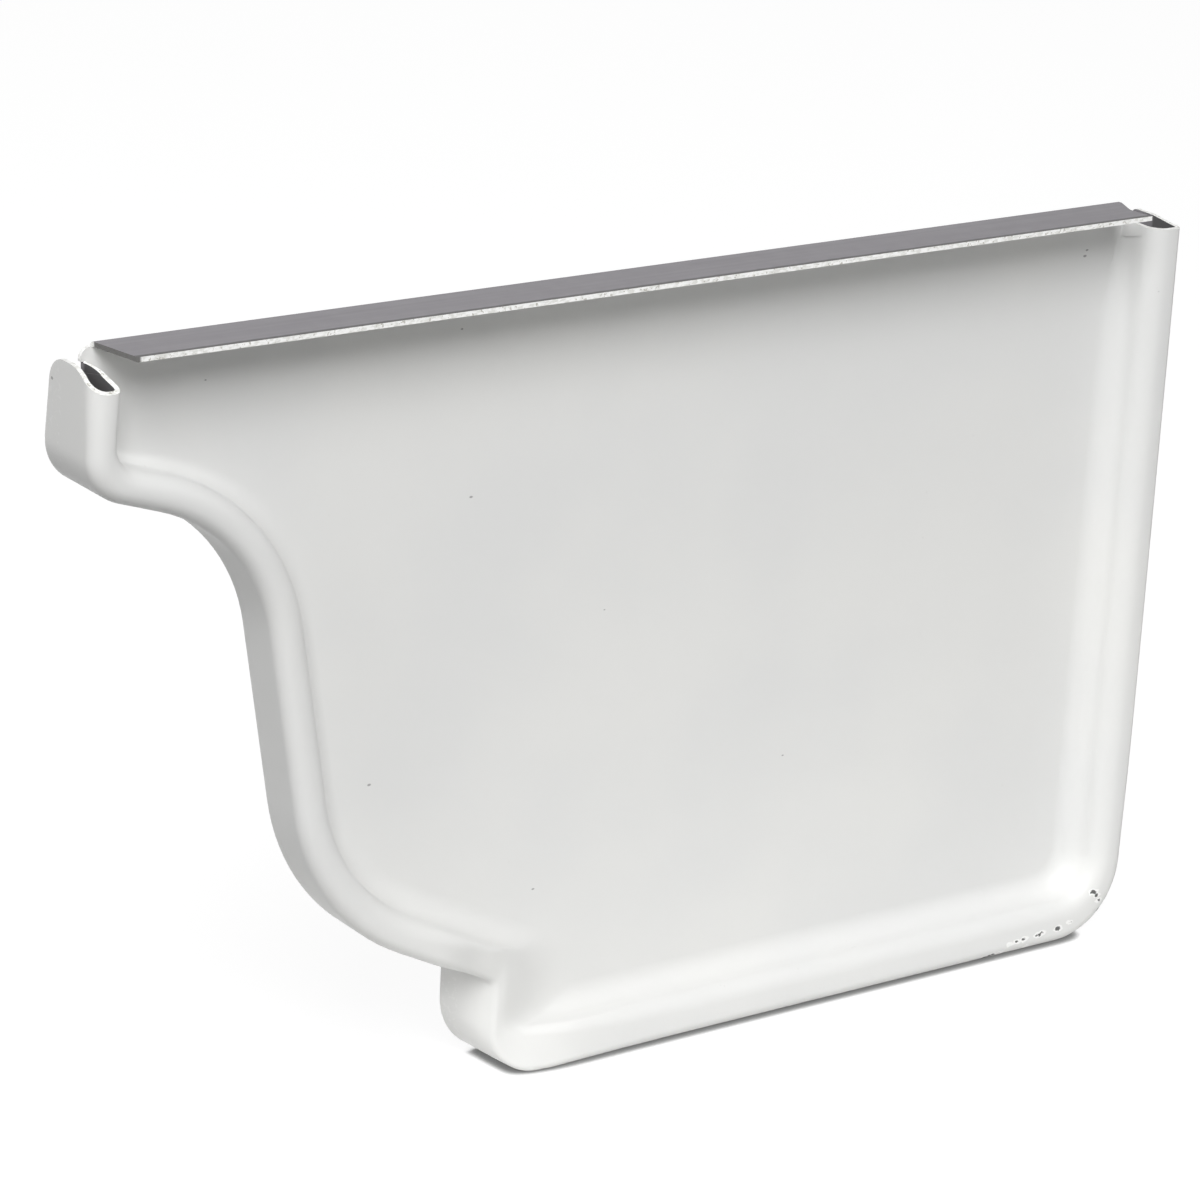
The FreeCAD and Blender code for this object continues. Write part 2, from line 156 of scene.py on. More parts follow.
def draw_run(name, plane, origin, corners, radii, line_steps=1, arc_steps=8):
    """Draw a run through corners: lines by extruding, rounded corners by spinning."""
    across, up = plane
    axis = up.cross(across)
    origin = Vector(origin)
    flat = [Vector(corner) for corner in corners]

    def lift(spot):
        return origin + across * spot.x + up * spot.y

    def steps_of(steps, index):
        return steps[index] if isinstance(steps, (tuple, list)) else steps

    bpy.ops.object.select_all(action="DESELECT")
    bpy.ops.mesh.primitive_plane_add(size=1, location=lift(flat[0]))
    run = bpy.context.object
    run.name = name
    bpy.ops.object.transform_apply(location=True, rotation=False, scale=False)
    edit(run)
    bpy.ops.mesh.select_all(action="SELECT")
    bpy.ops.mesh.merge(type="CENTER")
    here = flat[0]
    for i in range(1, len(flat)):
        way = (flat[i] - flat[i - 1]).normalized()
        turn = 0.0
        if i < len(flat) - 1:
            turn = -way.angle_signed((flat[i + 1] - flat[i]).normalized())
        radius = radii[i - 1] if i <= len(radii) else 0.0
        stop = flat[i] - way * radius * abs(math.tan(turn / 2))
        count = steps_of(line_steps, i - 1)
        for _ in range(count):
            move = lift(stop) - lift(here)
            bpy.ops.mesh.extrude_region_move(TRANSFORM_OT_translate={"value": move / count})
        here = stop
        if radius:
            side = math.copysign(radius, turn)
            centre = stop + side * Vector((-way.y, way.x))
            bpy.ops.mesh.spin(steps=steps_of(arc_steps, i - 1), angle=turn,
                              center=lift(centre), axis=axis)
            turned = Matrix.Rotation(turn, 2)
            here = centre + turned @ (stop - centre)
    leave()
    group = run.vertex_groups.new(name=name)
    group.add(range(len(run.data.vertices)), 1.0, "REPLACE")
    return run


# %% [markdown]
# ## The outline of the gutter
#
# The cap has the section of the gutter it closes: upright lip, sloping ledge, hollow cove,
# leaning face, swelling belly, upright step, flat bottom and upright back. Each stretch is
# a line with a direction, and neighbours meet in rounded corners.

# %% Lines of the outline
LIP_FOOT = 74.5
LIP_ROUND = 5.0
LEDGE_WAY = -18.0
COVE_ROUND = 19.0
COVE_END = 20.8
FACE_WAY = -80.0
BELLY_ROUND = 24.0
BELLY_WAY = -26.5
STEP_X = 47.2
STEP_TOP = 11.1
STEP_ROUND = 1.2
TOE_ROUND = 7.4
HEEL_ROUND = 8.5
WAYS = (-90.0, LEDGE_WAY, FACE_WAY, BELLY_WAY, -90.0, 0.0, 90.0)


def heading(way):
    """Unit step in a direction given in degrees."""
    return Vector((math.cos(math.radians(way)), math.sin(math.radians(way))))


def crossing(p, p_way, q, q_way):
    """Point where two lines cross, each given by a point and a direction."""
    a, b = heading(p_way), heading(q_way)
    gap = q - p
    return p + a * (gap.x * b.y - gap.y * b.x) / (a.x * b.y - a.y * b.x)


lip_corner = Vector((LEFT, LIP_FOOT - LIP_ROUND * math.tan(math.radians(90 + LEDGE_WAY) / 2)))
cove_reach = COVE_ROUND * math.tan(math.radians(LEDGE_WAY - FACE_WAY) / 2)
cove_x = LEFT + COVE_END - cove_reach * heading(FACE_WAY).x
cove_corner = crossing(lip_corner, LEDGE_WAY, Vector((cove_x, 0.0)), 90.0)
step_corner = Vector((LEFT + STEP_X,
                      STEP_TOP + STEP_ROUND * math.tan(math.radians(90 + BELLY_WAY) / 2)))
LINE_POINTS = (lip_corner, lip_corner, cove_corner, step_corner, step_corner,
               Vector((LEFT + STEP_X, 0.0)), Vector((LEFT + WIDTH, 0.0)))
print("corners in mm:", [tuple(round(c, 1) for c in p) for p in LINE_POINTS[1:]])

# %% [markdown]
# A ring of the bead has the lines of the outline, each moved inwards by its own inset. Two
# neighbours may have different insets, because the corner is where the moved lines cross.
# Every ring is cut into the same steps, so that the rings bridge face by face.

# %% Draw one ring
LINE_STEPS = (12, 7, 10, 9, 4, 34, 36)
ARC_STEPS = (14, 16, 16, 8, 14, 14)


def draw_ring(name, y, insets, rounds, top):
    """One ring of the bead: each line of the outline moved inwards by its own inset."""
    lines = [(p + heading(way + 90) * inset, way)
             for p, way, inset in zip(LINE_POINTS, WAYS, insets)]
    corners = [Vector((lines[0][0].x, top))]
    corners += [crossing(*a, *b) for a, b in zip(lines, lines[1:])]
    corners.append(Vector((lines[-1][0].x, top)))
    ring = draw_run(name, FRONT, (0, y, 0), corners, rounds, LINE_STEPS, ARC_STEPS)
    print(name, "has", len(ring.data.vertices), "points")
    return ring


# %% [markdown]
# ## The three rings of the bead
#
# Seen from the front, the sheet comes up the skirt, turns over the outer fold, crosses the
# bead, turns down the inner fold and meets the field in a soft valley. Three rings mark
# these three turns. At the lip the inner wall leans back under the fold, so its valley
# lies nearer to the lip there than the fold does, and at the step the outer fold leans
# inwards. All widths are insets from the outline.

# %% Draw the rings
BEAD = 4.4
BEAD_WIDTH = 3.6
LIP_WIDTH = 3.45
FOOT_WIDTH = 4.8
LIP_VALLEY = 1.6
BACK_VALLEY = 4.6
STEP_LEAN = 2.8
STEP_FOLD = 4.1
STEP_VALLEY = 10.0
WALL_LEAN = 0.5
RUN_TOP = HEIGHT - SHEET
RING_TOP = RUN_TOP - 0.6
EAR_FOOT = 83.1

FOLD_INSETS = (LIP_WIDTH,) + (BEAD_WIDTH,) * 3 + (STEP_FOLD, FOOT_WIDTH, BEAD_WIDTH)
FOLD_ROUNDS = (2.8, COVE_ROUND + BEAD_WIDTH, BELLY_ROUND - BEAD_WIDTH,
               STEP_ROUND + BEAD_WIDTH, 2.0, HEEL_ROUND - BEAD_WIDTH)
VALLEY_INSETS = ((LIP_VALLEY, BEAD_WIDTH) + (BEAD_WIDTH + WALL_LEAN,) * 2
                 + (STEP_VALLEY, FOOT_WIDTH, BACK_VALLEY))
VALLEY_ROUNDS = (4.0, COVE_ROUND + BEAD_WIDTH, BELLY_ROUND - BEAD_WIDTH,
                 3.0, 3.6, HEEL_ROUND - BEAD_WIDTH)


def draw_outer_ring(name, y, lean):
    """A ring on the outside of the cap, moved inwards at the step by its lean."""
    insets = (0.0,) * 4 + (lean, 0.0, 0.0)
    rounds = (LIP_ROUND, COVE_ROUND, BELLY_ROUND, STEP_ROUND, TOE_ROUND - lean, HEEL_ROUND)
    return draw_ring(name, y, insets, rounds, RING_TOP)


cap = draw_outer_ring("outer_fold", -BEAD, STEP_LEAN)
inner = draw_ring("inner_fold", -BEAD, FOLD_INSETS, FOLD_ROUNDS, RING_TOP)
valley = draw_ring("valley", 0.0, VALLEY_INSETS, VALLEY_ROUNDS, EAR_FOOT)

# %% [markdown]
# The rings are joined and bridged one after the other. Each has a vertex group of its own
# name, so a bridge finds its two rings again, and the sharp turns between the bridges are
# rounded later.

# %% Bridge the rings


def join(first, second):
    """Join the second object into the first."""
    only(first)
    second.select_set(True)
    bpy.ops.object.join()


def bridge(obj, ring, before, name, cuts=0):
    """Join a ring to the piece and bridge it to a ring that the piece already has."""
    join(obj, ring)
    pick_groups(obj, (before, name))
    bpy.ops.mesh.bridge_edge_loops(number_cuts=cuts, interpolation="LINEAR")
    leave()


cap.name = cap.data.name = "cap_sheet"
bridge(cap, inner, "outer_fold", "inner_fold")
bridge(cap, valley, "inner_fold", "valley")
print("bead:", len(cap.data.polygons), "faces")

# %% [markdown]
# ## The skirt
#
# Behind the bead the sheet runs straight back as a skirt. Only at the step does it lean:
# there the fold in front stands further in than the skirt's edge, and its crease is sharp.
# Two more rings are drawn and bridged for it. The blank is cut wide here, and the trimming
# dies further down take it back to its real depth, which differs round the cap.

# %% Pull the skirt back
TAB = 4.8
FOLD_ROOM = 2.6
SKIRT_CUTS = 5

root_lean = STEP_LEAN * (1 - FOLD_ROOM / (BEAD + TAB))
skirt_root = draw_outer_ring("skirt_root", FOLD_ROOM - BEAD, root_lean)
bridge(cap, skirt_root, "outer_fold", "skirt_root")
skirt_edge = draw_outer_ring("skirt_edge", TAB, 0.0)
bridge(cap, skirt_edge, "skirt_root", "skirt_edge", SKIRT_CUTS)
print("skirt reaches y = %.2f mm" % max(v.co.y for v in cap.data.vertices))

# %% [markdown]
# ## The field, the ear and the top flange
#
# The field closes the loop of the valley. Its top edge runs from the wall at the back to
# the start of the flange, along the flange, and round the small ear at the lip. The face is
# filled from that loop.

# %% Fill the field
FLANGE_START = LEFT + 2.2
FLANGE_END = LEFT + WIDTH - 5.7
EAR_EDGE = LEFT + 1.0
EAR_ROUND = 1.1
TOP_CORNERS = ((LEFT + WIDTH - BACK_VALLEY, EAR_FOOT), (FLANGE_END, RUN_TOP),
               (FLANGE_START, RUN_TOP), (EAR_EDGE, RUN_TOP), (EAR_EDGE, EAR_FOOT),
               (LEFT + LIP_VALLEY, EAR_FOOT))
TOP_STEPS = (3, 60, 1, 1, 2)

top = draw_run("field_top", FRONT, (0, 0, 0), TOP_CORNERS, (0.0, 0.0, EAR_ROUND),
               TOP_STEPS, 6)
join(cap, top)
edit(cap)
bpy.ops.mesh.select_all(action="SELECT")
bpy.ops.mesh.remove_doubles(threshold=NEAR)
pick_groups(cap, ("valley", "field_top"))
bpy.ops.mesh.edge_face_add()
leave()
print("field: %.0f square mm" % max(p.area for p in cap.data.polygons))

# %% [markdown]
# The flange is bent forward along the straight part of that top edge. Its edges are pulled
# out in rows, the first one short, so that the bend has room for its radius. Then all faces
# are turned to look outwards, which for an open sheet means the weather side.

# %% Pull the flange forward
FLANGE = 6.5
FLANGE_ROWS = (1.2, 1.7, 1.8, 1.8)


def on_flange_root(p):
    """Whether a point is on the edge that the flange is bent along."""
    return (abs(p.z - RUN_TOP) < NEAR and abs(p.y) < NEAR
            and FLANGE_START < p.x < FLANGE_END)


roots = pick(cap, on_flange_root, "EDGE")
for row in FLANGE_ROWS:
    bpy.ops.mesh.extrude_edges_move(TRANSFORM_OT_translate={"value": (0, -row, 0)})
bpy.ops.mesh.select_all(action="SELECT")
bpy.ops.mesh.normals_make_consistent(inside=False)
leave()
field = max(cap.data.polygons, key=lambda p: p.area)
if field.normal.y > 0:
    edit(cap)
    bpy.ops.mesh.select_all(action="SELECT")
    bpy.ops.mesh.flip_normals()
    leave()
print("flange grows from", roots, "edges; the field has", field.loop_total, "corners")

# %% [markdown]
# ## Rounding the turns
#
# A press leaves no sharp turn in sheet. Each edge that is to be rounded gets a weight, and
# one Bevel modifier rounds them all, each as wide as its weight says. The fold at the back
# is the tightest, and its inner side the softest. At the lip the inner wall folds sharply
# too. These functions say how far a point is into each of those regions. A width changes
# only along a straight part, because changing it round a corner folds the mesh over itself.

# %% Regions of the bead


def between(value, low_end, high_end):
    """How far a value lies between two ends, from 0 to 1."""
    return min(max((value - low_end) / (high_end - low_end), 0.0), 1.0)


def blend(a, b, share):
    """The value that far between two others."""
    return a + (b - a) * share


def at_back(p):
    """0 along the bottom, 1 up the back, changing on the straight part above the heel."""
    return between(p.z, HEEL_ROUND + 0.5, HEEL_ROUND + 9.0) if p.x > LEFT + WIDTH - 6.0 else 0.0


def at_lip(p):
    """0 on the ledge, 1 up the lip, changing on the straight part above the corner."""
    return between(p.z, LIP_FOOT + 3.6, LIP_FOOT + 6.6) if p.x < LEFT + 4.0 else 0.0


def along_cove(p):
    """1 at the lip's corner, 0 below the cove, changing slowly along it."""
    return between(p.x, LEFT + 20.0, LEFT + 7.0) if p.z > 40.0 else 0.0


def at_step(p):
    """1 round the step, 0 elsewhere, changing on the straight parts on both its sides."""
    past = p.x - LEFT - STEP_X
    return between(past, -7.0, -1.0) * between(past, 16.0, 8.0) if p.z < 20.0 else 0.0


def near_top(p, reach):
    """0 below, 1 at the open top of the bead."""
    return between(p.z, EAR_FOOT - reach - 1.0, EAR_FOOT - 1.0)


# %% [markdown]
# A setback is how far from the sharp turn its rounding begins, in millimetres. It is small
# where the sheet is folded tightly, as at the back and round the step.

# %% How wide each turn is
SETBACKS = {
    "outer_fold": lambda p: blend(blend(blend(1.6, 0.7, at_back(p)), 2.0, at_lip(p)),
                                  0.55, at_step(p)),
    "inner_fold": lambda p: blend(blend(blend(1.8, 2.0, at_back(p)), 1.0, at_lip(p)),
                                  0.55, at_step(p)),
    "valley": lambda p: (blend(2.4, 0.0, near_top(p, 10.0)) if p.x > 0 else
                         blend(blend(2.4, 1.0, along_cove(p)), 0.0, near_top(p, 4.0))),
    "field_top": lambda p: 0.3 if on_flange_root(p) else 0.0,
}
print("turns to round:", ", ".join(SETBACKS))

# %% [markdown]
# The bevel weight of an edge is an attribute of the mesh, from 0 to 1. It is the share of
# the widest setback, and it goes on the edges that join two points of one ring.

# %% Weigh the edges
WIDEST = 2.4
FLAT_GROUPS = ("valley", "field_top")


def weigh_edges(obj, name, setback):
    """Give the edges of a group the share of the widest bevel that their setback asks."""
    mesh = obj.data
    weights = (mesh.attributes.get("bevel_weight_edge")
               or mesh.attributes.new("bevel_weight_edge", "FLOAT", "EDGE"))
    number = obj.vertex_groups[name].index
    inside = {v.index for v in mesh.vertices if any(g.group == number for g in v.groups)}
    level = 0.0 if name in FLAT_GROUPS else -BEAD
    on_ring = {i for i in inside if abs(mesh.vertices[i].co.y - level) < NEAR}
    count = 0
    for edge in mesh.edges:
        if on_ring.issuperset(edge.vertices):
            a, b = (mesh.vertices[i].co for i in edge.vertices)
            weights.data[edge.index].value = setback((a + b) / 2) / WIDEST
            count += 1
    return count


for name, setback in SETBACKS.items():
    print(name, weigh_edges(cap, name, setback), "edges weighed")

# %% [markdown]
# At the step the press could not draw the bead to its full height: the sheet sinks there
# towards the crease, and the bead of the belly ends in a dome. A proportional scale towards
# the plane of the field lowers that corner and takes its surroundings along.

# %% Sink the bead at the step
SINK = 0.55
SINK_REACH = 8.0

sunk = pick(cap, lambda p: (LEFT + STEP_X < p.x < LEFT + STEP_X + STEP_FOLD + 0.2
                            and 4.0 < p.z < STEP_TOP + 1.5 and abs(p.y + BEAD) < NEAR))
bpy.ops.transform.resize(value=(1, SINK, 1), center_override=(0, 0, 0),
                         use_proportional_edit=True, proportional_edit_falloff="SMOOTH",
                         proportional_size=SINK_REACH)
leave()
print("sunk at the step:", sunk, "points and their neighbours")

# %% [markdown]
# One Bevel modifier now rounds all the turns. The field is still one face of hundreds of
# corners, which neither shades nor cuts well. A narrow inset gives it a rim, and the rest
# is cut into triangles.

# %% Round the turns and cut up the field
SEGMENTS = 8
FIELD_RIM = 0.15


def finish_modifier(obj, kind, **settings):
    """Add a modifier, set it and apply it."""
    only(obj)
    modifier = obj.modifiers.new(kind.title(), kind)
    for key, value in settings.items():
        setattr(modifier, key, value)
    bpy.ops.object.modifier_apply(modifier=modifier.name)


finish_modifier(cap, "BEVEL", width=WIDEST, segments=SEGMENTS, limit_method="WEIGHT",
                use_clamp_overlap=False)
middle = max(cap.data.polygons, key=lambda p: p.area).center.copy()
pick(cap, lambda c: (c - middle).length < NEAR, "FACE")
bpy.ops.mesh.inset(thickness=FIELD_RIM, use_even_offset=False)
bpy.ops.mesh.quads_convert_to_tris(ngon_method="CLIP")
leave()
print("rounded sheet:", len(cap.data.polygons), "faces")

# %% [markdown]
# ## Giving the sheet its thickness
#
# So far the mesh is the weather side alone. Solidify adds the other side behind it. Its
# faces get the second material, the thin grey coat that such sheet has on its back, and the
# rim between the two gets the third, the bare cut edge.

# %% Thicken the sheet
for name in ("white_coil_coat", "grey_back_coat", "cut_edge"):
    cap.data.materials.append(bpy.data.materials.new(name))
WHITE, GREY, CUT = cap.data.materials

finish_modifier(cap, "SOLIDIFY", thickness=SHEET, offset=-1, use_even_offset=False,
                use_quality_normals=True, material_offset=1, material_offset_rim=2)
print("sheet with thickness:", len(cap.data.polygons), "faces")

# %% [markdown]
# ## Trimming
#
# The press leaves a wide skirt, and dies cut it to shape. The cutters are blocks with the
# profile of the die, and an exact boolean takes their place out of the sheet. The faces
# that they leave get the material of the cut edge.

# %% Make a die and trim with it


def die(name, plane, origin, corners, radii, reach):
    """A block with a drawn profile, pulled along the normal of its plane."""
    loop = list(corners) + [corners[0]]
    block = draw_run(name, plane, origin, loop, radii)
    edit(block)
    bpy.ops.mesh.select_all(action="SELECT")
    bpy.ops.mesh.remove_doubles(threshold=NEAR)
    bpy.ops.mesh.select_all(action="SELECT")
    bpy.ops.mesh.edge_face_add()
    bpy.ops.mesh.select_all(action="SELECT")
    normal = plane[1].cross(plane[0])
    bpy.ops.mesh.extrude_region_move(TRANSFORM_OT_translate={"value": normal * reach})
    bpy.ops.mesh.select_all(action="SELECT")
    bpy.ops.mesh.normals_make_consistent(inside=False)
    leave()
    block.data.materials.append(CUT)
    return block


def trim(obj, block):
    """Take a block out of the sheet, and throw the block away."""
    finish_modifier(obj, "BOOLEAN", operation="DIFFERENCE", solver="EXACT", object=block,
                    material_mode="TRANSFER")
    print(block.name, "leaves", len(obj.data.polygons), "faces")
    bpy.data.objects.remove(block)


def box_profile(x0, z0, x1, z1):
    """The four corners of an upright box."""
    return ((x0, z0), (x1, z0), (x1, z1), (x0, z1))


# %% [markdown]
# The skirt is shallow along the ogee, deeper at the step and the bottom, and in between up
# the back. Only the tab behind the lip keeps the full depth of the blank.

# %% Trim the skirt
BEYOND = 4.0
SKIRT = 2.1
FOOT_SKIRT = 4.1
BACK_SKIRT = 3.5
TAB_END = 4.0
for name, depth, profile in (
        ("ogee_die", SKIRT, box_profile(LEFT + TAB_END, STEP_TOP - 2.0,
                                        LEFT + STEP_X - 0.2, HEIGHT + BEYOND)),
        ("foot_die", FOOT_SKIRT, box_profile(LEFT + STEP_X - 1.0, -BEYOND,
                                             LEFT + WIDTH + BEYOND, STEP_TOP + 1.5)),
        ("back_die", BACK_SKIRT, box_profile(LEFT + WIDTH - BEYOND, HEEL_ROUND,
                                             LEFT + WIDTH + BEYOND, HEIGHT + BEYOND))):
    trim(cap, die(name, FRONT, (0, depth, 0), profile, (), BEYOND))

# %% [markdown]
# The top of the lip is cut in an S: low over the bead and high over the tab, whose shoulder
# is rounded. The die for it would cut the ear too, so the ear's place is first taken out of
# the die. The bead's other end, at the back, is cut nearly level. ROOT is a hair in front of
# the field, so that no die grazes it.

# %% Trim the open ends of the bead
DIE_TOP = RUN_TOP - 0.3
FAR = 9.0
ROOT = -0.02
LIP_CURVE = ((-FAR, 80.9), (-4.3, 80.9), (-1.0, 83.0), (3.85, 83.0),
             (TAB + 0.1, LIP_FOOT - 0.5), (FAR, LIP_FOOT - 0.5),
             (FAR, DIE_TOP), (-FAR, DIE_TOP))
LIP_CURVE_ROUNDS = (2.5, 4.5, 2.6)
LIP_DIE_START = LEFT + 4.8
LIP_DIE_REACH = 6.8
EAR_SHIELD = box_profile(LEFT + 0.9, 60.0, LEFT + FAR, HEIGHT + BEYOND)
EAR_SHIELD_REACH = 12.0
BACK_CURVE = ((-FAR, 82.1), (-3.0, 82.6), (0.0, 82.95), (3.3, 82.95),
              (BACK_SKIRT + 0.3, 80.0), (FAR, 80.0), (FAR, DIE_TOP), (-FAR, DIE_TOP))
BACK_CURVE_ROUNDS = (0.0, 0.0, 0.9)
BACK_DIE_START = LEFT + WIDTH + 2.0
BACK_DIE_REACH = 2.0 + BEAD_WIDTH + 1.6

lip_die = die("lip_die", SIDE, (LIP_DIE_START, 0, 0), LIP_CURVE, LIP_CURVE_ROUNDS,
              LIP_DIE_REACH)
trim(lip_die, die("ear_shield", FRONT, (0, ROOT, 0), EAR_SHIELD, (), EAR_SHIELD_REACH))
trim(cap, lip_die)
trim(cap, die("back_top_die", SIDE, (BACK_DIE_START, 0, 0), BACK_CURVE, BACK_CURVE_ROUNDS,
              BACK_DIE_REACH))

# %% [markdown]
# The ends of the flange aren't square. At the lip the cut runs aslant, and at the back it
# curves inwards, with a small horn left at its root.

# %% Cut the ends of the flange
TOP = (Vector((1, 0, 0)), Vector((0, 1, 0)))
ABOVE = HEIGHT + 1.0
BEFORE = -FLANGE - 1.0
START_DEPTH = 2.4
START_CUT = ((-2.0, BEFORE), (3.55, BEFORE), (2.15, ROOT), (-2.0, ROOT))
END_GAPS = ((5.2, ROOT), (5.75, -0.75), (6.9, -3.4), (6.75, -5.0), (6.3, BEFORE),
            (3.0, BEFORE), (3.0, ROOT))
END_CUT = [(LEFT + WIDTH - gap, y) for gap, y in END_GAPS]
END_ROUNDS = (0.3, 1.6, 1.6)
END_DEPTH = 2.0

trim(cap, die("start_die", TOP, (LEFT, 0, ABOVE), START_CUT, (), START_DEPTH))
trim(cap, die("end_die", TOP, (0, 0, ABOVE), END_CUT, END_ROUNDS, END_DEPTH))

# %% [markdown]
# ## Smoothing and scaling
#
# Faces are shaded smooth where they meet at a small angle, so the folds look round and the
# cut edges stay crisp. The drawing is then scaled to metres and the scale is applied, so
# the finished piece sits at the origin with its place in its mesh. The vertex groups were
# only marks for the drawing, and go.

# %% Smooth, scale and hand over the piece
SMOOTH_BELOW = 35

only(cap)
bpy.ops.object.shade_smooth_by_angle(angle=math.radians(SMOOTH_BELOW))
cap.scale = (MM, MM, MM)
bpy.ops.object.transform_apply(location=False, rotation=False, scale=True)
cap.vertex_groups.clear()
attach(cap, "root")
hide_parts(NODE)
print("cap_sheet:", len(cap.data.vertices), "vertices,",
      sum(p.loop_total - 2 for p in cap.data.polygons), "triangles")

# %% [markdown]
# ## Camera
#
# The camera stands where the photographer stood, a little above and to the left, with a
# long lens. Its place is in millimetres and its turn in degrees.

# %% Place the camera
CAMERA_PLACE = (-277.0603, -372.1408, 209.9540)
CAMERA_TURN = (70.8265, -2.9352, -35.1668)
CAMERA_LENS = 142.62
CAMERA_SENSOR = 36.0

camera_data = bpy.data.cameras.new("camera")
camera = bpy.data.objects.new("camera", camera_data)
bpy.context.scene.collection.objects.link(camera)
camera.location = Vector(CAMERA_PLACE) * MM
camera.rotation_euler = [math.radians(angle) for angle in CAMERA_TURN]
camera_data.sensor_width = CAMERA_SENSOR
camera_data.lens = CAMERA_LENS
camera_data.clip_start = 10 * MM
bpy.context.scene.camera = camera
print("camera stands %.2f m from the cap" % camera.location.length)

# %% [markdown]
# ## Shader maths
#
# Finishes are painted with nodes, and nodes are wired with Python expressions. A small
# class wraps a socket, so that a sum or a product of sockets adds its Math node by itself.
# The sign | gives the greater of two values, which joins two masks.

# %% Write node maths as Python


class Reading:
    """A node's output that can be added, subtracted and multiplied, or joined by |."""

    def __init__(self, paint, socket):
        self.paint = paint
        self.socket = socket

    def maths(self, operation, first, second):
        return self.paint.node("ShaderNodeMath", {"operation": operation},
                               {0: first, 1: second})

    def __add__(self, other):
        return self.maths("ADD", self, other)

    def __sub__(self, other):
        return self.maths("SUBTRACT", self, other)

    def __rsub__(self, other):
        return self.maths("SUBTRACT", other, self)

    def __mul__(self, other):
        return self.maths("MULTIPLY", self, other)

    def __or__(self, other):
        return self.maths("MAXIMUM", self, other)

    __radd__ = __add__
    __rmul__ = __mul__
    __ror__ = __or__


# %% [markdown]
# A second class holds the nodes of one material, or of the world, and makes any other node.
# Positions are read from Object coordinates and turned into millimetres, the unit of the
# drawing, so every size of a pattern is its real size.

# %% Hold the nodes of one finish


class Paint:
    """One node tree: its shader and the position on the piece in mm."""

    def __init__(self, owner, shader="Principled BSDF"):
        owner.use_nodes = True
        self.tree = owner.node_tree
        self.shader = self.tree.nodes[shader]
        if isinstance(owner, bpy.types.Material):
            spot = self.node("ShaderNodeTexCoord", output="Object")
            self.place = self.node("ShaderNodeVectorMath", {"operation": "SCALE"},
                                   {"Vector": spot, "Scale": 1.0 / MM})

    def node(self, kind, settings=None, inputs=None, output=0):
        """Make a node: settings first, then the values or links of its sockets."""
        made = self.tree.nodes.new(kind)
        for key, value in (settings or {}).items():
            setattr(made, key, value)
        for key, value in (inputs or {}).items():
            self.feed(made.inputs[key], value)
        return Reading(self, made.outputs[output])

    def feed(self, target, value):
        """Link a reading to a socket, or set the socket to a plain value."""
        if isinstance(value, Reading):
            self.tree.links.new(value.socket, target)
        else:
            target.default_value = value

    def look(self, **inputs):
        """Set or link sockets of the shader, named with underscores for spaces."""
        for key, value in inputs.items():
            self.feed(self.shader.inputs[key.replace("_", " ")], value)

    def axis(self, name):
        """One coordinate of the position, in millimetres."""
        return self.node("ShaderNodeSeparateXYZ", None, {"Vector": self.place}, output=name)

    def noise(self, size, detail=2.0, stretch=(1, 1, 1)):
        """Noise from 0 to 1 whose blots are about so many millimetres wide."""
        spot = self.node("ShaderNodeVectorMath", {"operation": "MULTIPLY"},
                         {0: self.place, 1: stretch})
        return self.node("ShaderNodeTexNoise", None,
                         {"Vector": spot, "Scale": 1.0 / size, "Detail": detail})

    def ramp(self, value, low_end, high_end, low=0.0, high=1.0):
        """A soft step between two values of an input."""
        return self.node("ShaderNodeMapRange", {"interpolation_type": "SMOOTHSTEP"},
                         {"Value": value, "From Min": low_end, "From Max": high_end,
                          "To Min": low, "To Max": high})

    def mix(self, share, a, b):
        """Mix two colours."""
        made = self.tree.nodes.new("ShaderNodeMix")
        made.data_type = "RGBA"
        self.feed(made.inputs["Factor"], share)
        self.feed(made.inputs[6], a)
        self.feed(made.inputs[7], b)
        return Reading(self, made.outputs[2])

    def bump(self, height, strength, depth):
        """Raise and lower the surface by a height; the depth is in millimetres."""
        self.look(Normal=self.node("ShaderNodeBump", None, {
            "Height": height, "Strength": strength, "Distance": depth * MM}))

    def spot(self, centre, radius, edge, ragged, stretch):
        """1 inside a ragged, stretched spot about a point in mm, 0 outside, soft between."""
        gap = self.node("ShaderNodeVectorMath", {"operation": "SUBTRACT"},
                        {0: self.place, 1: centre})
        gap = self.node("ShaderNodeVectorMath", {"operation": "MULTIPLY"},
                        {0: gap, 1: stretch})
        reach = self.node("ShaderNodeVectorMath", {"operation": "LENGTH"}, {0: gap},
                          output="Value")
        return self.ramp(reach + ragged, radius, radius + edge, 1.0, 0.0)


# %% [markdown]
# ## White coil coat
#
# The weather side was painted white before the sheet was pressed. Such a coat is thin and
# even, with a faint orange peel and a satin shine. Handling has left a few dark specks,
# and the round heel at the bottom is chipped through to the metal, each chip with a
# lighter rim where the coat lifted. Every mark is a soft ball about a point of the sheet,
# made ragged by noise, because balls need no unwrapping and keep their real size.

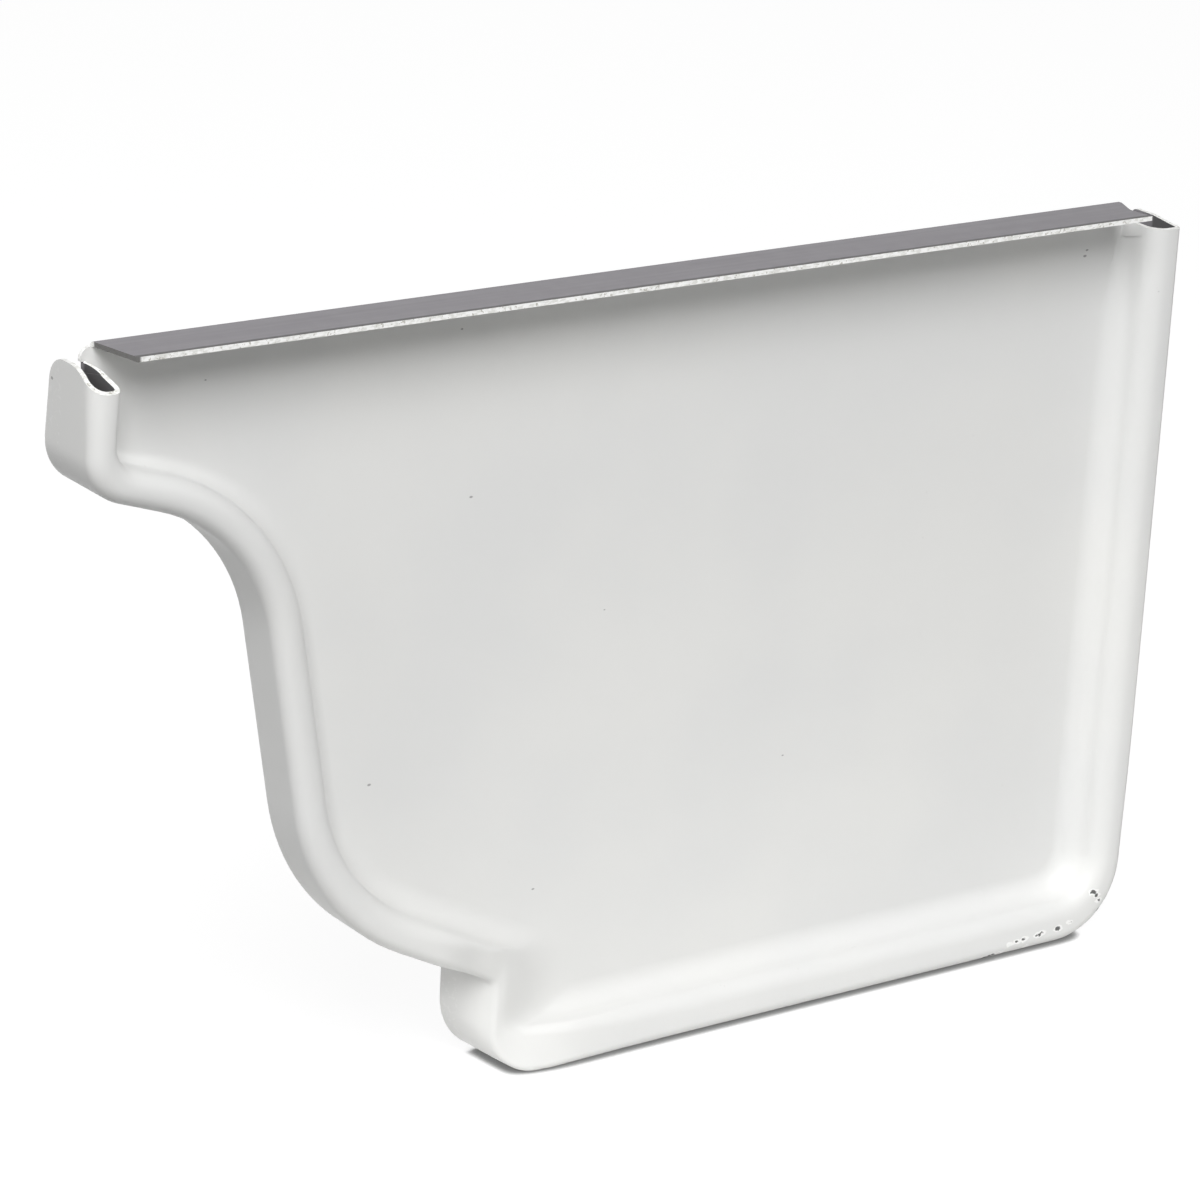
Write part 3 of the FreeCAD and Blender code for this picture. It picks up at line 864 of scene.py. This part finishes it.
# %% Marks on the weather side
WHITE_COLOUR = (0.735, 0.735, 0.722, 1.0)
CLOUD_COLOUR = (0.710, 0.712, 0.705, 1.0)
DUST_COLOUR = (0.40, 0.39, 0.36, 1.0)
BARE_COLOUR = (0.07, 0.07, 0.068, 1.0)
RIM_COLOUR = (0.90, 0.90, 0.89, 1.0)
SPECKS = ((-32.3, 0.0, 34.51, 0.16), (-21.44, 0.0, 63.39, 0.15), (-11.43, 0.0, 19.04, 0.13),
          (57.45, 0.0, 79.35, 0.17), (57.66, 0.0, 79.99, 0.14), (-23.4, 0.0, 81.06, 0.12),
          (-67.2, 3.58, 80.71, 0.2), (64.6, -4.4, 75.6, 0.2), (67.2, -3.6, 35.5, 0.25),
          (-52.6, 0.0, 79.6, 0.1), (-4.2, 0.0, 48.7, 0.08), (20.5, 0.0, 28.2, 0.09))
CHIPS = ((48.2, -3.6, 0.5, 0.34), (49.1, -3.7, 0.6, 0.36), (50.1, -3.7, 0.7, 0.30),
         (51.2, -4.2, 1.5, 0.13), (52.3, -4.2, 1.6, 0.20), (53.3, -4.2, 1.7, 0.26),
         (54.0, -3.7, 0.7, 0.24), (55.4, -4.2, 1.8, 0.28), (55.9, -4.2, 1.95, 0.24),
         (58.3, -4.2, 2.0, 0.30), (59.9, -4.2, 2.4, 0.14), (63.3, -4.3, 5.45, 0.24),
         (63.7, -4.3, 5.0, 0.14), (64.0, -4.2, 4.3, 0.16), (64.5, -3.9, 3.0, 0.34),
         (65.2, -3.6, 3.9, 0.28))
MARK_EDGE = 0.10
MARK_STRETCH = (0.75, 1, 1.3)


def marks(paint, table, wobble, grow=0.0):
    """The union of the spots of a table of x, y, z and radius, all in millimetres."""
    ragged = (paint.noise(0.35, 3.0) - 0.5) * wobble
    total = 0.0
    for x, y, z, radius in table:
        total = paint.spot((x, y, z), radius + grow, MARK_EDGE, ragged, MARK_STRETCH) | total
    return total


print("marks on the coat:", len(SPECKS), "specks and", len(CHIPS), "chips")

# %% [markdown]
# The colours are laid over each other as on the real sheet: the coat with its faint clouds,
# fine dust, the rubbed edge of the skirt, the lifted rim of each chip, and last the bare
# metal. The same masks then roughen and sink the marks.

# %% Paint the weather side
white = Paint(WHITE)
cloud = white.ramp(white.noise(28.0, 2.0), 0.35, 0.65)
coat = white.mix(cloud, WHITE_COLOUR, CLOUD_COLOUR)
dust = white.ramp(white.noise(0.55, 4.0), 0.70, 0.78) * white.ramp(white.noise(9.0), 0.5, 0.7)
coat = white.mix(dust * 0.5, coat, DUST_COLOUR)
rubbed = (white.ramp(white.axis("Y"), 1.5, 2.1)
          * white.ramp(white.noise(0.45, 3.0), 0.56, 0.64))
coat = white.mix(rubbed * 0.2, coat, RIM_COLOUR)
lifted = marks(white, CHIPS, wobble=0.5, grow=0.22)
coat = white.mix(lifted * 0.8, coat, RIM_COLOUR)
bare = marks(white, CHIPS, wobble=0.8) | marks(white, SPECKS, wobble=0.1, grow=-0.05) * 0.6
coat = white.mix(bare * 0.95, coat, BARE_COLOUR)
white.look(Base_Color=coat, Roughness=0.38 + 0.10 * white.noise(3.0) + 0.2 * bare,
           Specular_IOR_Level=0.35)
white.bump(white.noise(0.5, 2.0) + 0.8 * lifted - 1.6 * bare, strength=0.12, depth=0.03)
print("white coat:", len(white.tree.nodes), "nodes")

# %% [markdown]
# ## Grey back coat
#
# The back of such sheet has only a thin wash of grey primer, drawn out in fine streaks by
# the roller. It shows on top of the flange, whose front edge and root carry painted shade,
# and in the open ends of the bead, whose hollow is painted darker still as painted shade.

# %% Paint the back of the sheet
THIN_PRIMER = (0.180, 0.172, 0.186, 1.0)
THICK_PRIMER = (0.245, 0.236, 0.250, 1.0)
EDGE_SHADE_COLOUR = (0.045, 0.043, 0.040, 1.0)
HOLLOW_SHADE_COLOUR = (0.035, 0.035, 0.033, 1.0)

grey = Paint(GREY)
streak = grey.noise(0.7, 4.0, stretch=(0.02, 1, 1))
primer = grey.mix(streak, THIN_PRIMER, THICK_PRIMER)
y_grey, z_grey = grey.axis("Y"), grey.axis("Z")
on_flange = grey.ramp(z_grey, 84.2, 84.4)
frayed = 0.25 * grey.noise(0.8, 3.0)
# Painted shade: dark lines along the flange's front edge and along its root.
edge_shade = (grey.ramp(y_grey + frayed, -5.60, -6.05) | grey.ramp(y_grey - frayed, -0.45, 0.0))
# Painted shade: the grey inside the hollow bead, off the flange, is painted dark.
hollow_shade = grey.ramp(y_grey, 0.1, -0.3) - on_flange
primer = grey.mix(edge_shade * on_flange * 0.8, primer, EDGE_SHADE_COLOUR)
primer = grey.mix((hollow_shade | 0.0) * 0.75, primer, HOLLOW_SHADE_COLOUR)
grey.look(Base_Color=primer, Roughness=0.50 + 0.15 * grey.noise(2.0))
grey.bump(streak + 0.4 * grey.noise(0.3), strength=0.15, depth=0.03)
print("grey primer:", len(grey.tree.nodes), "nodes")

# %% [markdown]
# ## Cut edge
#
# The shears smear the white coat over the cut, so the edge is nearly as white as the sheet,
# with a fine torn grain and small dark nicks. The short end of the flange at the lip is
# painted dark, as painted shade on that end face.

# %% Finish the cut edge
THIN_SMEAR = (0.74, 0.74, 0.71, 1.0)
THICK_SMEAR = (0.93, 0.93, 0.92, 1.0)
NICK_COLOUR = (0.25, 0.23, 0.17, 1.0)
END_SHADE_COLOUR = (0.05, 0.048, 0.045, 1.0)

edge = Paint(CUT)
torn = edge.noise(0.30, 3.0, stretch=(0.5, 1, 1))
smear = edge.mix(edge.ramp(torn, 0.35, 0.6), THIN_SMEAR, THICK_SMEAR)
nicks = edge.ramp(edge.noise(0.35, 4.0), 0.61, 0.67)
smear = edge.mix(nicks * 0.55, smear, NICK_COLOUR)
x_cut, y_cut, z_cut = (edge.axis(name) for name in "XYZ")
# Painted shade: the short end face of the flange at the lip is painted dark.
painted_end_shade = (edge.ramp(z_cut, 84.35, 84.45) * edge.ramp(y_cut, -0.2, -0.5)
            * edge.ramp(x_cut + 0.215 * y_cut, LEFT + 2.5, LEFT + 2.1))
smear = edge.mix(painted_end_shade * 0.9, smear, END_SHADE_COLOUR)
edge.look(Base_Color=smear, Roughness=0.40 + 0.2 * torn, Metallic=0.1)
edge.bump(torn - nicks, strength=0.3, depth=0.05)
print("cut edge:", len(edge.tree.nodes), "nodes")

# %% [markdown]
# ## Floor and world
#
# The scene is a product shot on white. The floor is plain, and what the camera sees of
# it, directly, in gloss or through glass, is lifted to white. For the light it throws, its
# colour is a painted pool of light: pale around the cap, so that it throws light up on it,
# and dark further off, so that its light doesn't flatten the shape. A narrow band of painted
# shade dims the lift where the cap stands on the floor.

# %% Lay the floor
FLOOR_SIZE = 8.0
LIGHT_POOL_COLOUR = (0.86, 0.86, 0.85, 1.0)
FAR_FLOOR_COLOUR = (0.16, 0.16, 0.16, 1.0)
SEEN_FLOOR_COLOUR = (0.15, 0.15, 0.15, 1.0)
FLOOR_MIDDLE = (25.0, -30.0, 0.0)
FLOOR_LIFT = 0.93
CONTACT = 1.2


def seen_rays(paint):
    """1 for the rays of the eye, of gloss and of glass, 0 for those that light things."""
    rays = ("Is Camera Ray", "Is Glossy Ray", "Is Transmission Ray")
    seen, mirrored, through = (paint.node("ShaderNodeLightPath", output=ray) for ray in rays)
    return seen | mirrored | through


bpy.ops.object.select_all(action="DESELECT")
bpy.ops.mesh.primitive_plane_add(size=FLOOR_SIZE, location=(0, 0, 0))
floor = bpy.context.object
floor.name = "floor"
floor.data.materials.append(bpy.data.materials.new("floor_white"))
paper = Paint(floor.data.materials[0])
lift = seen_rays(paper)
away = paper.node("ShaderNodeVectorMath", {"operation": "DISTANCE"},
                  {0: paper.place, 1: FLOOR_MIDDLE}, output="Value")
# Painted light: the floor's colour is pale round the cap and dark further off, a pool of light.
painted_light_pool = paper.mix(paper.ramp(away, 50.0, 150.0), LIGHT_POOL_COLOUR, FAR_FLOOR_COLOUR)
# Painted shade: ambient occlusion dims the floor's lift where the cap stands.
open_sky = paper.node("ShaderNodeAmbientOcclusion", {"samples": 8},
                      {"Distance": CONTACT * MM}, output="AO")
glow = lift * paper.ramp(open_sky, 0.35, 0.85, 0.12, 1.0)
paper.look(Base_Color=paper.mix(lift, painted_light_pool, SEEN_FLOOR_COLOUR), Roughness=0.9,
           Specular_IOR_Level=0.0,
           Emission_Color=paper.mix(glow, (0, 0, 0, 1), (1, 1, 1, 1)),
           Emission_Strength=FLOOR_LIFT)
print("floor: %.0f m square" % FLOOR_SIZE)

# %% Set the world
AMBIENT = 0.02

world = bpy.data.worlds.new("studio")
bpy.context.scene.world = world
sky = Paint(world, "Background")
sky.look(Color=(1, 1, 1, 1), Strength=AMBIENT + (1 - AMBIENT) * seen_rays(sky))
print("world: white behind the cap, %.2f as light" % AMBIENT)

# %% [markdown]
# ## Lamps
#
# One big soft box high on the left of the camera gives most of the light, and the flange
# throws its soft shade on the field. A weaker one far round to the left lights the skirt,
# and a small one on the right fills the shade a little.

# %% Hang the lamps


def add_lamp(name, azimuth, elevation, distance, size, power):
    """A square soft box that looks at the middle of the object from a direction."""
    data = bpy.data.lights.new(name, "AREA")
    data.size = size
    data.energy = power
    lamp = bpy.data.objects.new(name, data)
    bpy.context.scene.collection.objects.link(lamp)
    az, el = math.radians(azimuth), math.radians(elevation)
    away = Vector((math.sin(az) * math.cos(el), -math.cos(az) * math.cos(el), math.sin(el)))
    lamp.location = Vector((0, 0, HEIGHT / 2 * MM)) + away * distance
    lamp.rotation_euler = away.to_track_quat("Z", "Y").to_euler()
    print(name, "%.2f W from %.1f m" % (power, distance))


add_lamp("soft_box", azimuth=-29, elevation=46, distance=1.0, size=0.6, power=10.9)
add_lamp("side_box", azimuth=-88, elevation=28, distance=1.0, size=0.6, power=3.2)
add_lamp("fill_box", azimuth=42, elevation=18, distance=0.4, size=0.3, power=0.13)
